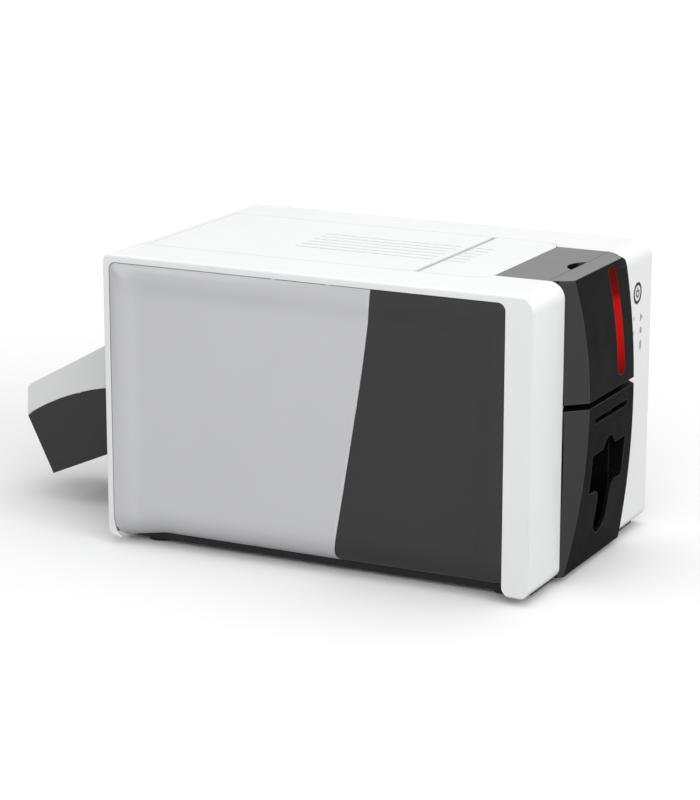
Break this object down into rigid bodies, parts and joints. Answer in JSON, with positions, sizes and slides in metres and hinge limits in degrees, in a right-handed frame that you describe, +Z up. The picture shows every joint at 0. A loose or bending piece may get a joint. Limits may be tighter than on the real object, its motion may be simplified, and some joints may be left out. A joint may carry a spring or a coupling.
{
  "type": "card printer",
  "caption": "Desktop identity card printer with a lifting front hood over a ribbon and print head, a front card feeder and a sloped rear output hopper with a hinged lid.",
  "frame": {"origin": "on the table, under the middle of the whole machine with its nose and hopper", "axes": "+Z up, +Y towards the rear hopper, front towards -Y, +X to the machine's right-hand side seen from the front"},
  "size_m": [0.203, 0.4193, 0.195],
  "materials": {
    "white_plastic": "smooth satin white moulding",
    "grey_plastic": "satin light grey lacquer",
    "dark_plastic": "fine-grained charcoal moulding",
    "black_plastic": "plain black moulding",
    "red_light": "translucent red light guide",
    "clear_light": "translucent light pipe",
    "sheet_steel": "zinc-plated sheet",
    "shaft_steel": "ground bar",
    "acetal": "off-white acetal",
    "rubber": "soft black rubber",
    "film": "thin dyed film",
    "board": "green solder mask",
    "silver_case": "plated metal shell"
  },
  "bodies": {
    "chassis": {"base_tray": "dark_plastic", "rubber_feet": "rubber", "side_shell_left": "white_plastic", "side_shell_right": "white_plastic", "panel_left_rear": "grey_plastic", "panel_left_front": "dark_plastic", "panel_right_rear": "grey_plastic", "panel_right_front": "dark_plastic", "top_panel": "white_plastic", "rear_panel": "white_plastic", "front_bezel": "dark_plastic", "frame_plate_left": "sheet_steel", "frame_plate_right": "sheet_steel", "tie_bars": "shaft_steel", "shaft_bushes": "acetal", "card_track": "black_plastic", "feeder_magazine": "black_plastic", "lifter_springs": "shaft_steel", "drive_motor": "silver_case", "ribbon_film": "film", "ribbon_motor": "silver_case", "hinge_pins": "shaft_steel", "status_lights": "clear_light", "light_board": "board", "main_board": "board", "board_components": "black_plastic", "power_inlet": "black_plastic", "usb_port": "silver_case", "network_port": "silver_case", "hopper_tray": "dark_plastic", "screws": "shaft_steel"},
    "hood": {"hood_top": "white_plastic", "hood_deck": "dark_plastic", "hood_nose": "dark_plastic", "light_strip": "red_light", "head_bracket": "sheet_steel", "print_head": "black_plastic"},
    "release": {"release_button": "black_plastic"},
    "power": {"power_button": "white_plastic"},
    "lifter": {"lifter_plate": "sheet_steel"},
    "picker": {"pick_roller": "rubber"},
    "pinion": {"motor_pinion": "shaft_steel"},
    "front_wheel": {"front_idler": "acetal"},
    "middle_wheel": {"middle_idler": "acetal"},
    "rear_wheel": {"rear_idler": "acetal"},
    "front_drive": {"front_roller": "rubber", "front_roller_gear": "acetal"},
    "platen": {"platen_roller": "rubber", "platen_gear": "acetal"},
    "middle_drive": {"middle_roller": "rubber", "middle_roller_gear": "acetal"},
    "exit_drive": {"exit_roller": "rubber", "exit_roller_gear": "acetal"},
    "front_pinch": {"front_pinch_roller": "shaft_steel"},
    "middle_pinch": {"middle_pinch_roller": "shaft_steel"},
    "exit_pinch": {"exit_pinch_roller": "shaft_steel"},
    "supply": {"supply_spool": "black_plastic"},
    "takeup": {"takeup_spool": "black_plastic"},
    "ribbon_drive": {"ribbon_pinion": "acetal"},
    "lid": {"hopper_lid": "white_plastic"}
  },
  "joints": [
    {"name": "hood_hinge", "type": "hinge", "parent": "chassis", "child": "hood", "pos_m": [0, -0.1038, 0.191], "axis": [-1, 0, 0], "range_deg": [0, 75]},
    {"name": "release_press", "type": "slide", "parent": "hood", "child": "release", "axis": [0, 0, -1], "range_m": [0, 0.002], "stiffness_N_per_m": 600, "springref_m": -0.0015},
    {"name": "power_press", "type": "slide", "parent": "chassis", "child": "power", "axis": [0, 1, 0], "range_m": [0, 0.0008], "stiffness_N_per_m": 900, "springref_m": -0.0008},
    {"name": "lifter_slide", "type": "slide", "parent": "chassis", "child": "lifter", "axis": [0, 0, -1], "range_m": [0, 0.038], "stiffness_N_per_m": 60, "springref_m": -0.03, "deforming": ["lifter_springs"]},
    {"name": "pick_spin", "type": "hinge", "parent": "chassis", "child": "picker", "pos_m": [0, -0.152, 0.08926], "axis": [1, 0, 0], "continuous": true},
    {"name": "middle_idler_spin", "type": "hinge", "parent": "chassis", "child": "middle_wheel", "pos_m": [0, -0.095, 0.0945], "axis": [1, 0, 0], "continuous": true},
    {"name": "rear_idler_spin", "type": "hinge", "parent": "chassis", "child": "rear_wheel", "pos_m": [0, -0.015, 0.0945], "axis": [1, 0, 0], "continuous": true},
    {"name": "front_idler_spin", "type": "hinge", "parent": "chassis", "child": "front_wheel", "pos_m": [0, -0.152, 0.08054], "axis": [1, 0, 0], "continuous": true},
    {"name": "motor_spin", "type": "hinge", "parent": "chassis", "child": "pinion", "pos_m": [0, -0.015, 0.0585], "axis": [1, 0, 0], "continuous": true},
    {"name": "front_roller_spin", "type": "hinge", "parent": "chassis", "child": "front_drive", "pos_m": [0, -0.169, 0.0945], "axis": [1, 0, 0], "continuous": true},
    {"name": "platen_spin", "type": "hinge", "parent": "chassis", "child": "platen", "pos_m": [0, -0.135, 0.0945], "axis": [1, 0, 0], "continuous": true},
    {"name": "middle_roller_spin", "type": "hinge", "parent": "chassis", "child": "middle_drive", "pos_m": [0, -0.055, 0.0945], "axis": [1, 0, 0], "continuous": true},
    {"name": "exit_roller_spin", "type": "hinge", "parent": "chassis", "child": "exit_drive", "pos_m": [0, 0.025, 0.0945], "axis": [1, 0, 0], "continuous": true},
    {"name": "front_pinch_spin", "type": "hinge", "parent": "chassis", "child": "front_pinch", "pos_m": [0, -0.169, 0.10726], "axis": [1, 0, 0], "continuous": true},
    {"name": "middle_pinch_spin", "type": "hinge", "parent": "chassis", "child": "middle_pinch", "pos_m": [0, -0.055, 0.10726], "axis": [1, 0, 0], "continuous": true},
    {"name": "exit_pinch_spin", "type": "hinge", "parent": "chassis", "child": "exit_pinch", "pos_m": [0, 0.025, 0.10726], "axis": [1, 0, 0], "continuous": true},
    {"name": "supply_spin", "type": "hinge", "parent": "chassis", "child": "supply", "pos_m": [0, -0.1065, 0.132], "axis": [1, 0, 0], "continuous": true},
    {"name": "takeup_spin", "type": "hinge", "parent": "chassis", "child": "takeup", "pos_m": [0, -0.188, 0.126], "axis": [1, 0, 0], "continuous": true},
    {"name": "ribbon_drive_spin", "type": "hinge", "parent": "chassis", "child": "ribbon_drive", "pos_m": [0, -0.16545, 0.13421], "axis": [1, 0, 0], "continuous": true},
    {"name": "lid_hinge", "type": "hinge", "parent": "chassis", "child": "lid", "pos_m": [0, 0.1076, 0.131], "axis": [1, 0, 0], "range_deg": [0, 60]}
  ],
  "couplings": [
    {"joint": "rear_idler_spin", "follows": "middle_idler_spin", "ratio": 1},
    {"joint": "front_idler_spin", "follows": "middle_idler_spin", "ratio": 2.5},
    {"joint": "motor_spin", "follows": "middle_idler_spin", "ratio": -5},
    {"joint": "front_roller_spin", "follows": "middle_idler_spin", "ratio": -3},
    {"joint": "platen_spin", "follows": "middle_idler_spin", "ratio": -3},
    {"joint": "middle_roller_spin", "follows": "middle_idler_spin", "ratio": -3},
    {"joint": "exit_roller_spin", "follows": "middle_idler_spin", "ratio": -3},
    {"joint": "front_pinch_spin", "follows": "middle_idler_spin", "ratio": 6},
    {"joint": "middle_pinch_spin", "follows": "middle_idler_spin", "ratio": 6},
    {"joint": "exit_pinch_spin", "follows": "middle_idler_spin", "ratio": 6},
    {"joint": "takeup_spin", "follows": "supply_spin", "ratio": 1.875},
    {"joint": "ribbon_drive_spin", "follows": "supply_spin", "ratio": -1.875}
  ]
}
